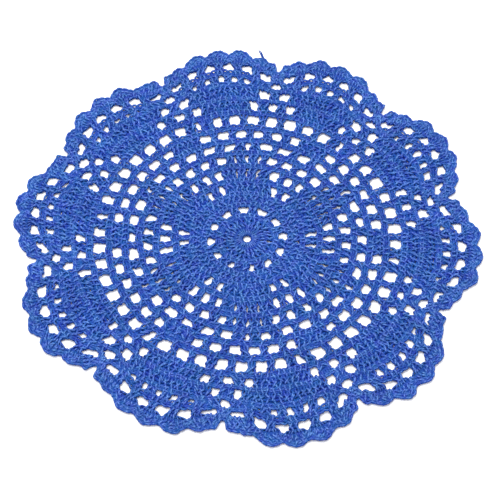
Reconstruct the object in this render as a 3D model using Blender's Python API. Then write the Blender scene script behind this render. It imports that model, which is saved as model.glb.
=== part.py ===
"""Round crochet placemat: one flat openwork sheet, ten petals round a six-fold middle.

Everything is laid out from the middle of the mat in metres and degrees, counterclockwise
from +X, seen from above. The mat lies flat on z = 0.
"""
import math
import random
from collections import namedtuple

import bpy

MM = 0.001

# Driving sizes
THICKNESS = 3.0 * MM
RIM_RADIUS = 185.5 * MM
VALLEY_RADIUS = 164.0 * MM
MIDDLE_HOLE_RADIUS = 3.5 * MM
MIDDLE_HOLE_CORNERS = 10

# The mat lies a little wider across than from front to back, most of all near its middle
SPREAD_ACROSS = 0.03
SPREAD_FRONT_TO_BACK = -0.02

# and its middle sits a little to the front of its rim
SLIP_ACROSS = -0.6 * MM
SLIP_FORWARD = -2.0 * MM

# Ten petals: the valley before each one, how far its crown reaches, and how far the crown
# sits off the petal's middle, as a share of the petal's width
Petal = namedtuple("Petal", "valley_deg valley_radius crown_radius lean")
PETALS = (
    Petal(14.7, 165.0 * MM, 189.5 * MM, -0.02),
    Petal(48.6, 163.5 * MM, 186.5 * MM, 0.02),
    Petal(82.2, 165.0 * MM, 186.0 * MM, -0.01),
    Petal(116.7, 163.0 * MM, 183.0 * MM, 0.06),
    Petal(153.4, 164.0 * MM, 187.5 * MM, 0.05),
    Petal(188.9, 166.0 * MM, 187.5 * MM, 0.00),
    Petal(226.6, 162.0 * MM, 181.5 * MM, 0.00),
    Petal(264.7, 161.0 * MM, 185.5 * MM, 0.05),
    Petal(301.3, 163.5 * MM, 187.0 * MM, -0.04),
    Petal(337.3, 160.5 * MM, 186.0 * MM, 0.02),
)
PETAL_DEG = 360.0 / len(PETALS)

# Openings of the middle rounds, from the middle out. A group of openings repeats round the
# mat; middle_deg points at the middle of the first group, pitch_deg is from one to the next.
Round = namedtuple("Round", "radius groups middle_deg count pitch_deg width height corners")
MIDDLE_ROUNDS = (
    Round(28.0 * MM, 12, 97.0, 1, 0.0, 6.2 * MM, 5.0 * MM, 6),
    Round(64.0 * MM, 6, 61.4, 3, 10.0, 5.4 * MM, 8.2 * MM, 6),
    Round(77.2 * MM, 6, 61.9, 4, 10.0, 6.8 * MM, 7.2 * MM, 6),
    Round(89.6 * MM, 6, 61.1, 5, 10.3, 9.4 * MM, 6.6 * MM, 6),
    Round(102.0 * MM, 6, 30.0, 6, 8.3, 8.8 * MM, 7.6 * MM, 6),
    Round(115.8 * MM, 6, 21.3, 7, 7.5, 9.4 * MM, 8.8 * MM, 8),
    Round(115.8 * MM, 6, 51.3, 1, 0.0, 5.0 * MM, 7.6 * MM, 6),
)

# Openings of the petal rounds: rows of three, two and one that narrow into each valley
ValleyRow = namedtuple("ValleyRow", "radius count pitch_deg width height corners")
VALLEY_ROWS = (
    ValleyRow(129.2 * MM, 3, 7.0, 7.2 * MM, 6.2 * MM, 6),
    ValleyRow(139.2 * MM, 2, 7.0, 7.6 * MM, 6.6 * MM, 6),
    ValleyRow(149.6 * MM, 1, 0.0, 9.0 * MM, 6.8 * MM, 8),
)

# Six openings arch over each petal, wide inside and narrow outside, between the shells
ARCH_COUNT = 6
ARCH_PITCH = 0.155
ARCH_BELOW_TIPS = 16.0 * MM
ARCH_LOWEST = 155.0 * MM
ARCH_WIDTH = 9.6 * MM
ARCH_HEIGHT = 8.0 * MM
ARCH_END_HEIGHT = 5.2 * MM
ARCH_TAPER = 0.5
ARCH_CORNERS = 6

# Five shells stand along the rim of each petal
SHELLS = (-2, -1, 0, 1, 2)
SHELL_PITCH = 0.182
SHELL_FALL = 5.2
SHELL_FALL_POWER = 2.3
SHELL_DIP = 5.4 * MM

# One shell: place across it as a share of its pitch, and depth below its tip as a share
# of the dip between two shells
ShellPoint = namedtuple("ShellPoint", "across depth")
SHELL_POINTS = (
    ShellPoint(-0.50, 1.00),
    ShellPoint(-0.34, 0.56),
    ShellPoint(-0.14, 0.13),
    ShellPoint(0.00, 0.00),
    ShellPoint(0.14, 0.13),
    ShellPoint(0.34, 0.56),
)
FLANK_RISE = 3.5 * MM

# The yarn's fastened end, which stands out past the rim
TAIL_DEG = 86.6
TAIL_LEAN_DEG = 1.4
TAIL_LENGTH = 9.5 * MM
TAIL_WIDTH = 2.2 * MM

# Hand-worked unevenness of the openings
SEED = 11
PLACE_SPREAD = 0.5 * MM
SIZE_SPREAD = 0.09
LEAN_SPREAD = 0.16
SMALLEST_OPENING = 4.2 * MM
ROUNDING = 0.6

YARN_BLUE = (0.047, 0.112, 0.429, 1.0)
YARN_ROUGHNESS = 0.9


def clear_scene():
    for item in list(bpy.data.objects):
        bpy.data.objects.remove(item, do_unlink=True)


def laid(radius, direction_deg):
    """Where a point of the mat lies on the table."""
    fade = 1.0 - (radius / RIM_RADIUS) ** 2
    angle = math.radians(direction_deg)
    x = radius * math.cos(angle) * (1.0 + SPREAD_ACROSS * fade)
    y = radius * math.sin(angle) * (1.0 + SPREAD_FRONT_TO_BACK * fade)
    return x + SLIP_ACROSS * fade, y + SLIP_FORWARD * fade


def petal_width(index):
    """Degrees from a petal's valley to the next one."""
    following = PETALS[(index + 1) % len(PETALS)]
    return (following.valley_deg - PETALS[index].valley_deg) % 360.0


def petal_direction(index, place):
    """Direction at a place across a petal, from -0.5 at one valley to 0.5 at the next."""
    return PETALS[index].valley_deg + (place + 0.5) * petal_width(index)


def valley_line(index, place):
    """Radius of the straight run from one valley of a petal to the other."""
    following = PETALS[(index + 1) % len(PETALS)]
    share = place + 0.5
    return PETALS[index].valley_radius * (1.0 - share) + following.valley_radius * share


def opening(radius, direction_deg, width, height, corners, luck, taper=0.0):
    """Corner points of one opening, a rounded block with its own small unevenness."""
    width = max(width * (1.0 + luck.uniform(-1, 1) * SIZE_SPREAD), SMALLEST_OPENING)
    height = max(height * (1.0 + luck.uniform(-1, 1) * SIZE_SPREAD), SMALLEST_OPENING)
    lean = luck.uniform(-1, 1) * LEAN_SPREAD
    radius += luck.uniform(-1, 1) * PLACE_SPREAD
    direction_deg += math.degrees(luck.uniform(-1, 1) * PLACE_SPREAD / radius)
    first = luck.choice((0.0, 0.5))
    points = []
    for corner in range(corners):
        turn = 2.0 * math.pi * (corner + first) / corners
        across = math.copysign(abs(math.cos(turn)) ** ROUNDING, math.cos(turn)) * width / 2
        outward = math.copysign(abs(math.sin(turn)) ** ROUNDING, math.sin(turn)) * height / 2
        across = across * (1.0 - taper * (outward / height + 0.5)) + lean * outward
        point_radius = radius + outward
        points.append(laid(point_radius, direction_deg - math.degrees(across / point_radius)))
    return points


def middle_openings(luck):
    loops = []
    for row in MIDDLE_ROUNDS:
        for group in range(row.groups):
            middle = row.middle_deg + group * 360.0 / row.groups
            for number in range(row.count):
                direction = middle + (number - (row.count - 1) / 2) * row.pitch_deg
                loops.append(opening(row.radius, direction, row.width, row.height,
                                     row.corners, luck))
    return loops


def valley_openings(luck):
    loops = []
    for index, petal in enumerate(PETALS):
        widths = petal_width(index - 1), petal_width(index)
        for row in VALLEY_ROWS:
            radius = row.radius + (petal.valley_radius - VALLEY_RADIUS) / 2
            for number in range(row.count):
                offset = (number - (row.count - 1) / 2) * row.pitch_deg
                direction = petal.valley_deg + offset * widths[offset > 0] / PETAL_DEG
                loops.append(opening(radius, direction, row.width, row.height,
                                     row.corners, luck))
    return loops


def arch_openings(luck):
    loops = []
    for index in range(len(PETALS)):
        for number in range(ARCH_COUNT):
            place = (number - (ARCH_COUNT - 1) / 2) * ARCH_PITCH
            radius = max(rim_radius(index, place) - ARCH_BELOW_TIPS, ARCH_LOWEST)
            at_end = number in (0, ARCH_COUNT - 1)
            height = ARCH_END_HEIGHT if at_end else ARCH_HEIGHT
            loops.append(opening(radius, petal_direction(index, place), ARCH_WIDTH, height,
                                 ARCH_CORNERS, luck, ARCH_TAPER))
    return loops


def middle_hole():
    points = []
    for corner in range(MIDDLE_HOLE_CORNERS):
        points.append(laid(MIDDLE_HOLE_RADIUS, 360.0 * corner / MIDDLE_HOLE_CORNERS))
    return points


def rim_radius(index, place):
    """Radius through the shell tips of a petal."""
    base = valley_line(index, place)
    fall = SHELL_FALL * abs(place - PETALS[index].lean) ** SHELL_FALL_POWER
    return base + (PETALS[index].crown_radius - base) * (1.0 - fall)


def rim_point(index, place, depth):
    """Radius and direction of a point of the rim, never lower than the petal's flank."""
    radius = rim_radius(index, place) - depth * SHELL_DIP
    lowest = valley_line(index, place) + FLANK_RISE
    return max(radius, lowest), petal_direction(index, place)


def petal_outline(index):
    """Radius and direction of each point along a petal's rim, from its valley on."""
    petal = PETALS[index]
    points = [(petal.valley_radius, petal.valley_deg)]
    for shell in SHELLS:
        for point in SHELL_POINTS:
            place = (shell + point.across) * SHELL_PITCH
            points.append(rim_point(index, place, point.depth))
    points.append(rim_point(index, (SHELLS[-1] + 0.5) * SHELL_PITCH, 1.0))
    return points


def tail_points(radius, half_deg):
    """The yarn end on the rim: out along one side, back along the other."""
    return [
        (radius, TAIL_DEG - half_deg),
        (radius + TAIL_LENGTH, TAIL_DEG + TAIL_LEAN_DEG - half_deg / 2),
        (radius + TAIL_LENGTH, TAIL_DEG + TAIL_LEAN_DEG + half_deg / 2),
        (radius, TAIL_DEG + half_deg),
    ]


def rim_outline():
    half_deg = math.degrees(TAIL_WIDTH / 2 / RIM_RADIUS)
    rim = []
    for index in range(len(PETALS)):
        rim.extend(petal_outline(index))
    before = max((point for point in rim if point[1] < TAIL_DEG - half_deg),
                 key=lambda point: point[1])
    loop = []
    for point in rim:
        if abs(point[1] - TAIL_DEG) > half_deg:
            loop.append(laid(*point))
        if point is before:
            loop.extend(laid(*end) for end in tail_points(before[0], half_deg))
    return loop


def box_middle(loop):
    xs = [x for x, _ in loop]
    ys = [y for _, y in loop]
    return (min(xs) + max(xs)) / 2, (min(ys) + max(ys)) / 2


def add_loop(curve, loop, middle):
    """One closed straight-sided spline of the flat outline, placed about the box's middle."""
    spline = curve.splines.new("POLY")
    spline.points.add(len(loop) - 1)
    for point, (x, y) in zip(spline.points, loop):
        point.co = (x - middle[0], y - middle[1], 0.0, 1.0)
    spline.use_cyclic_u = True


def cotton_yarn():
    material = bpy.data.materials.new("cotton_yarn")
    material.use_nodes = True
    shader = material.node_tree.nodes["Principled BSDF"]
    shader.inputs["Base Color"].default_value = YARN_BLUE
    shader.inputs["Roughness"].default_value = YARN_ROUGHNESS
    shader.inputs["Metallic"].default_value = 0.0
    material.diffuse_color = YARN_BLUE
    return material


def build_placemat(collection):
    luck = random.Random(SEED)
    rim = rim_outline()
    middle = box_middle(rim)
    curve = bpy.data.curves.new("placemat", "CURVE")
    curve.dimensions = "2D"
    curve.fill_mode = "BOTH"
    curve.extrude = THICKNESS / 2
    add_loop(curve, rim, middle)
    add_loop(curve, middle_hole(), middle)
    for loop in middle_openings(luck) + valley_openings(luck) + arch_openings(luck):
        add_loop(curve, loop, middle)
    curve.materials.append(cotton_yarn())
    placemat = bpy.data.objects.new("placemat", curve)
    placemat.location.z = THICKNESS / 2
    collection.objects.link(placemat)
    return placemat


def main():
    clear_scene()
    collection = bpy.data.collections.new("crochet_placemat")
    bpy.context.scene.collection.children.link(collection)
    build_placemat(collection)


main()
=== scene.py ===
"""Round crochet placemat, worked stitch by stitch in one blue cotton yarn.

The file is laid out as a Blender add-on: property groups hold the sizes and colours, one
operator works each group of rounds, and a panel lists them. Run as a script it works the
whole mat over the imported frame. Lengths are in metres and directions in degrees,
counterclockwise from +X, as in the part's own source.
"""

import math
import random
from collections import namedtuple

import bpy
import numpy as np
from bpy.props import FloatProperty, FloatVectorProperty, IntProperty, PointerProperty
from bpy.types import Operator, Panel, PropertyGroup
from mathutils import Matrix, Vector


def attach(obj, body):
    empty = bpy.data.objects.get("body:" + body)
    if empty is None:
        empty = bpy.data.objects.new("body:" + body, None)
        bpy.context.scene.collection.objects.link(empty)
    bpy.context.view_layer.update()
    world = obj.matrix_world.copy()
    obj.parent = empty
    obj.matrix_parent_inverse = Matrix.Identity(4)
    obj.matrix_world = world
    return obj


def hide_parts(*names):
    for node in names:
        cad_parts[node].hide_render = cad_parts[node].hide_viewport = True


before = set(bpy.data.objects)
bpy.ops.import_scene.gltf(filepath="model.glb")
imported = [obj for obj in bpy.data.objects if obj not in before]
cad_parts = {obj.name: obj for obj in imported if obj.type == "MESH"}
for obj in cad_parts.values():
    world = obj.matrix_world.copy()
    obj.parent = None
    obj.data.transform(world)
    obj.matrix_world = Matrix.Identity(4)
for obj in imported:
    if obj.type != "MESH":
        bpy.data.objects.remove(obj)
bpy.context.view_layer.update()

bl_info = {
    "name": "Round Crochet Placemat",
    "version": (1, 0, 0),
    "blender": (4, 5, 0),
    "location": "3D View > Sidebar > Placemat",
    "description": "Works a round crochet placemat stitch by stitch, with its yarn, stage and camera",
    "category": "Add Mesh",
}

MM = 0.001
NODE = "placemat"
BODY = "root"

# The chart, with the values that the part's source has for it
RIM_RADIUS = 185.5 * MM
VALLEY_RADIUS = 164.0 * MM
SPREAD_ACROSS = 0.03
SPREAD_FRONT_TO_BACK = -0.02
SLIP_ACROSS = -0.6 * MM
SLIP_FORWARD = -2.0 * MM

Petal = namedtuple("Petal", "valley_deg valley_radius crown_radius lean")
PETALS = (
    Petal(14.7, 165.0 * MM, 189.5 * MM, -0.02),
    Petal(48.6, 163.5 * MM, 186.5 * MM, 0.02),
    Petal(82.2, 165.0 * MM, 186.0 * MM, -0.01),
    Petal(116.7, 163.0 * MM, 183.0 * MM, 0.06),
    Petal(153.4, 164.0 * MM, 187.5 * MM, 0.05),
    Petal(188.9, 166.0 * MM, 187.5 * MM, 0.00),
    Petal(226.6, 162.0 * MM, 181.5 * MM, 0.00),
    Petal(264.7, 161.0 * MM, 185.5 * MM, 0.05),
    Petal(301.3, 163.5 * MM, 187.0 * MM, -0.04),
    Petal(337.3, 160.5 * MM, 186.0 * MM, 0.02),
)
PETAL_DEG = 360.0 / len(PETALS)

# Openings of the middle rounds. A group of openings repeats round the mat; middle_deg points
# at the middle of the first group, pitch_deg is from one to the next.
MeshRow = namedtuple("MeshRow", "worked radius groups middle_deg count pitch_deg width")
MIDDLE_ROWS = (
    MeshRow(2, 28.0 * MM, 12, 97.0, 1, 0.0, 6.2 * MM),
    MeshRow(5, 64.0 * MM, 6, 61.4, 3, 10.0, 5.4 * MM),
    MeshRow(6, 77.2 * MM, 6, 61.9, 4, 10.0, 6.8 * MM),
    MeshRow(7, 89.6 * MM, 6, 61.1, 5, 10.3, 9.4 * MM),
    MeshRow(8, 102.0 * MM, 6, 30.0, 6, 8.3, 8.8 * MM),
    MeshRow(9, 115.8 * MM, 6, 21.3, 7, 7.5, 9.4 * MM),
    MeshRow(9, 115.8 * MM, 6, 51.3, 1, 0.0, 5.0 * MM),
)
ValleyRow = namedtuple("ValleyRow", "worked radius count pitch_deg width")
VALLEY_ROWS = (
    ValleyRow(10, 129.2 * MM, 3, 7.0, 7.2 * MM),
    ValleyRow(11, 139.2 * MM, 2, 7.0, 7.6 * MM),
    ValleyRow(12, 149.6 * MM, 1, 0.0, 9.0 * MM),
)

# Slits too narrow for the part's solid: the start of the mesh, the fan tips and the eyelets
SLIT_ROWS = (
    MeshRow(4, 49.4 * MM, 6, 60.5, 2, 12.0, 3.7 * MM),
    MeshRow(5, 64.0 * MM, 6, 31.2, 3, 7.4, 0.9 * MM),
    MeshRow(6, 77.2 * MM, 6, 31.4, 3, 7.3, 1.4 * MM),
    MeshRow(7, 89.6 * MM, 6, 31.0, 1, 0.0, 2.6 * MM),
)
EYELETS = (-2, -1, 0, 1, 2)
EYELET_PITCH = 0.1194
EYELET_WIDTH = 4.6 * MM
EYELET_BELOW_EDGE = 6.5 * MM
ARCH_PITCH = 0.155

# The outer rounds: the eyelets with the necks over them, the shells, and the edging on them.
# Places across a petal run from -0.5 at one valley to 0.5 at the next, and across a shell
# likewise.
NECK_ROUND = 12
SHELL_ROUND = 13
RIM_ROUND = 14
SHELLS = (-2, -1, 0, 1, 2)
SHELL_PITCH = 0.182
SHELL_FALL = 5.2
SHELL_FALL_POWER = 2.3
SHELL_DIP = 5.4 * MM
SHELL_ACROSS = (-0.50, -0.34, -0.14, 0.00, 0.14, 0.34, 0.50)
SHELL_DEPTH = (1.00, 0.56, 0.13, 0.00, 0.13, 0.56, 1.00)
SHELL_UNEVEN = 0.7 * MM
SHELL_LUCK = 7.3
FLANK_RISE = 3.5 * MM
SHELL_FAN = (-0.46, -0.31, -0.155, 0.0, 0.155, 0.31, 0.46)
SHELL_STEP = 0.155
SHELL_HEIGHT = 12.6 * MM
SHELL_GROWTH = 0.65 * MM
SHELL_SPLAY = 0.25
SHELL_CHANCE = 0.3 * MM
FOOT_WIDTH = 4.2 * MM
FOOT_ROOM = 1.3 * MM
NECK_OFFSETS = (-2.0 * MM, 2.0 * MM)
NECK_ROOM = 4.0 * MM

# The last round has a few more stitches than its length asks for, and three more posts carry
# it across each valley
EDGING_CROWDING = 1.08
EDGING_CHANCE = 0.08
EDGING_LEAN_DEG = 0.25
VALLEY_PLACES = (-0.5, -0.462, 0.462)
VALLEY_ROOM = 4.2 * MM

# The fastened end: where it leaves the rim, how its plies part, and how they thin out
TAIL_DEG = 86.6
TAIL_LEAN_DEG = 1.4
TAIL_LENGTH = 9.5 * MM
TAIL_ROOT = 5.0 * MM
TAIL_POINTS = 12
TAIL_TURNS = 1.3
TAIL_REACH = 11.4 * MM
TAIL_CURL_DEG = 1.85
TAIL_SHORTER = 0.07
TAIL_SPREAD = (0.52, 0.28)
TAIL_HALF = 0.85
TAIL_THINNING = (0.78, 1.3)

# The seed of all chance, and how uneven the openings are on the part's chart
SEED = 11
PLACE_SPREAD = 0.5 * MM
SIZE_SPREAD = 0.09
LEAN_SPREAD = 0.16

# Where each round's top edge runs: rounds 0 to 9 are circles, 10 to 14 follow the petals
CIRCLES = [
    radius * MM for radius in (5.6, 22.1, 32.7, 43.0, 55.9, 70.2, 82.9, 94.9, 107.6, 122.3)]
PetalEdge = namedtuple("PetalEdge", "valley rise power follow")
PETAL_EDGES = {
    10: PetalEdge(133.7 * MM, 2.6 * MM, 2.0, 0.1),
    11: PetalEdge(143.7 * MM, 7.6 * MM, 1.5, 0.5),
}
USUAL_CROWN = 186.5 * MM
EYELET_BELOW_RIM = 23.8 * MM
EYELET_EDGE_LOWEST = 152.2 * MM
EYELET_BEND_MM = 1.5
VALLEY_KNOT = 2.2 * MM
RIM_INSET = 2.3 * MM
RIM_FULLNESS = 0.6 * MM
FULL_FROM = 0.3
SHELL_INSET = 6.3 * MM
VALLEY_INSET = 4.5 * MM
INSET_FROM = 0.30
INSET_OVER = 0.08
VALLEY_REACH = 0.05
FLANK_FILL = 8.3 * MM
FLANK_PLACE = 0.028
FLANK_FLAT = 0.020

# Top edges are worked tighter towards the rim: half width of each in millimetres, from its
# middle to the middle of its outer strand
EDGE_HALF_WIDTHS = {
    0: 0.9, 1: 1.8, 2: 1.9, 3: 1.6, 4: 2.3, 5: 2.2, 6: 2.2, 7: 2.3, 8: 2.4, 9: 2.4,
    13: 1.35, 14: 1.35,
}
# Over the petals the width changes: narrow past this place, where openings meet in the
# valleys, and wider towards the crown
EdgeWidth = namedtuple("EdgeWidth", "valley crown change")
PETAL_EDGE_WIDTHS = {
    10: EdgeWidth(0.9 * MM, 1.3 * MM, 0.27),
    11: EdgeWidth(0.9 * MM, 1.8 * MM, 0.36),
    12: EdgeWidth(0.8 * MM, 2.8 * MM, 0.38),
}
WIDTH_CHANGE_OVER = 0.06

# Hand-worked wobble of each top edge: wavelengths along it and how far each one sways
Sway = namedtuple("Sway", "length reach")
SWAYS = (Sway(13.0 * MM, 0.32 * MM), Sway(21.0 * MM, 0.40 * MM), Sway(47.0 * MM, 0.45 * MM))
SWAY_BY_ROUND = 2.4
SWAY_BY_WAVE = 1.7
# A top edge is followed in this many steps round the mat, its slope smoothed over so many
EDGE_STEPS = 2880
EDGE_BLUR = 41

# One chain loop of a top edge, from its neck to the middle of its bow: along in stitches,
# across in half widths, height in yarn half-thicknesses
CHAIN_LOOP = (
    (-0.06, 0.28, -0.60),
    (0.12, 0.48, -0.15),
    (0.32, 0.70, 0.45),
    (0.55, 0.88, 0.80),
    (0.80, 0.98, 0.70),
    (1.02, 0.92, 0.20),
    (1.20, 0.60, -0.40),
    (1.28, 0.00, -0.70),
)

# One leg of a post, from its turn under the edge below to its end under its own edge:
# share of the height, front-to-back swing and side swing
POST_LEG = (
    (0.00, 0.00, 0.00),
    (0.045, 0.85, 0.00),
    (0.12, 1.55, 0.10),
    (0.21, 1.30, 0.50),
    (0.32, 1.05, 1.00),
    (0.44, 1.00, 0.90),
    (0.58, 1.00, 0.72),
    (0.72, 1.00, 0.95),
    (0.88, 0.85, 1.10),
    (0.97, 0.30, 0.95),
)
TWIST_START = 0.15
TWIST_END = 0.92
LONG_POST = 17.5 * MM
LONG_TURNS = 1.25
SHORT_TURNS = 0.75
WRAPPED_FROM = 9.5 * MM
WRAP_RISE = 0.58
WRAP_STRAY = 0.11
WRAP_PINCH = 0.30
WRAP_PINCH_OVER = 0.13
WRAP_POINTS = 8

# A post with more room than this stands alone between two openings: its legs hardly twist,
# and a core of yarn between them keeps it closed
LONE_ROOM = 5.4 * MM
LONE_START = 0.09
LONE_TURNS = 0.20
LONE_CORE = (0.10, 0.38, 0.66, 0.96)

# Posts side by side: how many fill a round with no openings, how far chance moves their feet
# and tops, and how high up them the strands behind them lie
CLOSED_POSTS = {1: 30, 3: 54}
CLOSED_CHANCE = 0.05
LOW_CHANCE = 0.34 * MM
HIGH_CHANCE = 0.42 * MM
BACK_RISES = (0.18, 0.39, 0.61, 0.83)

# Yarn in its own half-thicknesses: how far a post reaches past its two edges, how far its legs
# keep from its neighbours' and the least and most that they part, and the half-thickness and
# height of legs, wraps, chains and the strands hidden inside. Yarn as high as the last gets no
# painted shade for lying low; yarn lower down gets painted shade.
FOOT_DEPTH = 2.2
HEAD_REACH = 0.4
LEG_CLEARANCE = 0.70
LEG_LEAST = 0.30
LEG_MOST = 3.1
LEG_SWING = 0.95
WRAP_HALF = 0.92
WRAP_SWING = 1.45
WRAP_CLEARANCE = 0.75
WRAP_SHARE = 0.72
CORE_HALF = 1.3
CORE_HEIGHT = -0.2
BACK_HALF = 1.42
BACK_HEIGHT = -0.74
BACK_STRAY = 0.6
CHAIN_HALF = 0.97
CHAIN_SINK = 0.15
CHAIN_CORE_HALF = 1.45
CHAIN_CORE_HEIGHT = -0.65
FULL_RISE = 1.9

# Legs thin out where a post has less room than this, down to this share of their thickness
THICK_ROOM = 2.6 * MM
THINNEST = 0.62

# What a post's chance, from 0 to 1, does to its turns, its legs' thickness and its wrap's
# slant: the least, and what chance adds
TURNS_LUCK = (0.92, 0.16)
LEG_LUCK = (0.94, 0.10)
SLANT_LUCK = (1.7, 1.1)

# How uneven the chain loops of a top edge are, and those of the rim
CHAIN_CHANCE = 0.05
CHAIN_LIFT = 0.08
CHAIN_UNEVEN = 0.08
RIM_CHAIN_UNEVEN = 0.26

# How much of an opening's chart width the yarn leaves open, by round, and how much that varies
OPENING_SHARES = {2: 0.82, 4: 0.75, 5: 0.74, 6: 0.78, 8: 0.75, 9: 0.68, 10: 0.73}
USUAL_SHARE = 0.80
SHARE_SPREADS = {2: 0.20}
USUAL_SPREAD = 0.14
PULL_SPREAD = 0.20
WIDEST_SHARE = 1.15
# The mat is pulled a little out of round: by round, how much wider its openings are towards
# one direction, and that direction in degrees
Pull = namedtuple("Pull", "swing toward_deg")
PULLS = {2: Pull(0.32, 75.0), 5: Pull(0.20, 95.0), 6: Pull(0.18, 95.0), 7: Pull(0.14, 95.0),
         8: Pull(0.14, 80.0), 9: Pull(0.16, 290.0)}

# The yarn is a six-sided tube: the corners of the two faces that close its start, and its end
YARN_SIDES = 6
START_FACES = ((0, 5, 4, 3), (0, 3, 2, 1))
END_FACES = ((0, 1, 2, 3), (0, 3, 4, 5))
# A yarn's plies start this share of a turn further round for each point worked before it
LAY_STEP = 0.377
UP = np.array([0.0, 0.0, 1.0])

CAMERA_TARGET = (2.27 * MM, -12.46 * MM, 0.0)
SOFTBOX_PLACE = (-0.35, 0.35, 1.7)
SOFTBOX_SIZE = (1.8, 1.4)
FLOOR_DROP = 0.05 * MM


class YarnSettings(PropertyGroup):
    """Sizes and colours of the yarn and of the way it is worked."""

    thickness: FloatProperty(
        name="Yarn Thickness", description="Thickness of the plied yarn where it isn't pulled tight",
        default=2.0 * MM, min=0.5 * MM, max=8.0 * MM, unit="LENGTH", precision=4)
    flattening: FloatProperty(
        name="Flattening", description="Share of its height that the worked yarn keeps once pressed",
        default=0.82, min=0.4, max=1.0, subtype="FACTOR")
    chain_pitch: FloatProperty(
        name="Chain Pitch", description="Length of one chain loop along a round's top edge",
        default=4.9 * MM, min=2.0 * MM, max=12.0 * MM, unit="LENGTH", precision=4)
    chain_fullness: FloatProperty(
        name="Chain Fullness",
        description="How wide the chain of each top edge lies, as a share of its chart width",
        default=1.0, min=0.5, max=1.5, subtype="FACTOR")
    post_pitch: FloatProperty(
        name="Post Pitch", description="Room that one post takes where posts stand side by side",
        default=4.4 * MM, min=2.0 * MM, max=12.0 * MM, unit="LENGTH", precision=4)
    ply_length: FloatProperty(
        name="Ply Length", description="Length along the yarn in which its plies turn round once",
        default=6.6 * MM, min=1.0 * MM, max=20.0 * MM, unit="LENGTH", precision=4)
    plies: IntProperty(
        name="Plies", description="Strands twisted together to make the yarn",
        default=3, min=2, max=8)
    # The dyed cotton's own colour where no painted shade falls, set paler so that the tops of the
    # plies carry a painted highlight
    colour: FloatVectorProperty(
        name="Yarn Colour", description="Colour of the dyed cotton",
        default=(0.115, 0.225, 0.558), size=3, subtype="COLOR", min=0.0, max=1.0)
    # Painted shade: the colour that the yarn goes towards between the plies, low down between the
    # stitches and on its flanks
    painted_shade_colour: FloatVectorProperty(
        name="Painted Shade Colour", description="Colour between the plies, where less light comes back",
        default=(0.000, 0.036, 0.264), size=3, subtype="COLOR", min=0.0, max=1.0)
    roughness: FloatProperty(
        name="Roughness", description="Roughness of the cotton's surface",
        default=0.66, min=0.0, max=1.0, subtype="FACTOR")


class StageSettings(PropertyGroup):
    """Floor, light and camera."""

    floor_colour: FloatVectorProperty(
        name="Floor Colour", description="Colour of the plain pale floor",
        default=(0.93, 0.93, 0.94), size=3, subtype="COLOR", min=0.0, max=1.0)
    floor_size: FloatProperty(
        name="Floor Size", description="Side of the floor",
        default=8.0, min=1.0, max=50.0, unit="LENGTH")
    lens: FloatProperty(
        name="Lens", description="Focal length of the camera on a 36 mm sensor",
        default=120.3, min=10.0, max=300.0, subtype="DISTANCE_CAMERA")
    elevation: FloatProperty(
        name="Elevation", description="Height of the camera above the table, as an angle",
        default=math.radians(59.4), min=0.0, max=math.radians(90.0), subtype="ANGLE")
    distance: FloatProperty(
        name="Distance", description="From the camera to the point that it looks at",
        default=1.3166, min=0.2, max=10.0, unit="LENGTH")
    roll: FloatProperty(
        name="Roll", description="Turn of the camera about its own line of sight",
        default=math.radians(1.43), min=-math.pi, max=math.pi, subtype="ANGLE")
    sky: FloatProperty(
        name="Sky Strength", description="Strength of the even light from all round",
        default=0.95, min=0.0, max=5.0)
    softbox: FloatProperty(
        name="Softbox Power", description="Power of the large soft light over the table",
        default=40.0, min=0.0, max=500.0, unit="POWER")


def laid(radius, direction_deg):
    """Where a point of the chart lies on the table, before the mat is centred."""
    fade = 1.0 - (radius / RIM_RADIUS) ** 2
    angle = np.radians(direction_deg)
    x = radius * np.cos(angle) * (1.0 + SPREAD_ACROSS * fade)
    y = radius * np.sin(angle) * (1.0 + SPREAD_FRONT_TO_BACK * fade)
    return x + SLIP_ACROSS * fade, y + SLIP_FORWARD * fade


def petal_width(index):
    """Degrees from a petal's valley to the next one."""
    following = PETALS[(index + 1) % len(PETALS)]
    return (following.valley_deg - PETALS[index].valley_deg) % 360.0


def petal_direction(index, place):
    """Direction at a place across a petal, from -0.5 at one valley to 0.5 at the next."""
    return PETALS[index].valley_deg + (place + 0.5) * petal_width(index)


def petal_and_place(direction_deg):
    """The petal that a direction falls in, and its place across that petal."""
    turn = (direction_deg - PETALS[0].valley_deg) % 360.0
    starts = [(petal.valley_deg - PETALS[0].valley_deg) % 360.0 for petal in PETALS]
    index = max(number for number, start in enumerate(starts) if start <= turn)
    return index, (turn - starts[index]) / petal_width(index) - 0.5


def valley_line(index, place):
    """Radius of the straight run from one valley of a petal to the other."""
    following = PETALS[(index + 1) % len(PETALS)]
    share = place + 0.5
    return PETALS[index].valley_radius * (1.0 - share) + following.valley_radius * share


def rim_radius(index, place):
    """Radius through the shell tips of a petal."""
    base = valley_line(index, place)
    fall = SHELL_FALL * abs(place - PETALS[index].lean) ** SHELL_FALL_POWER
    return base + (PETALS[index].crown_radius - base) * (1.0 - fall)


def scalloped_radius(index, place):
    """Radius of the rim itself, tips and dips of the shells and the petal's flanks."""
    shell = min(max(round(place / SHELL_PITCH), SHELLS[0]), SHELLS[-1])
    across = place / SHELL_PITCH - shell
    depth = float(np.interp(across, SHELL_ACROSS, SHELL_DEPTH))
    radius = rim_radius(index, place) - depth * SHELL_DIP
    radius += RIM_FULLNESS * min(1.0, abs(place) / FULL_FROM)
    radius += SHELL_UNEVEN * (1.0 - depth) * math.sin(SHELL_LUCK * (len(SHELLS) * index + shell))
    climb = min(max((0.5 - FLANK_FLAT - abs(place)) / FLANK_PLACE, 0.0), 1.0)
    flank = valley_line(index, place) + FLANK_FILL * climb
    return max(radius, flank)


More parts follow.
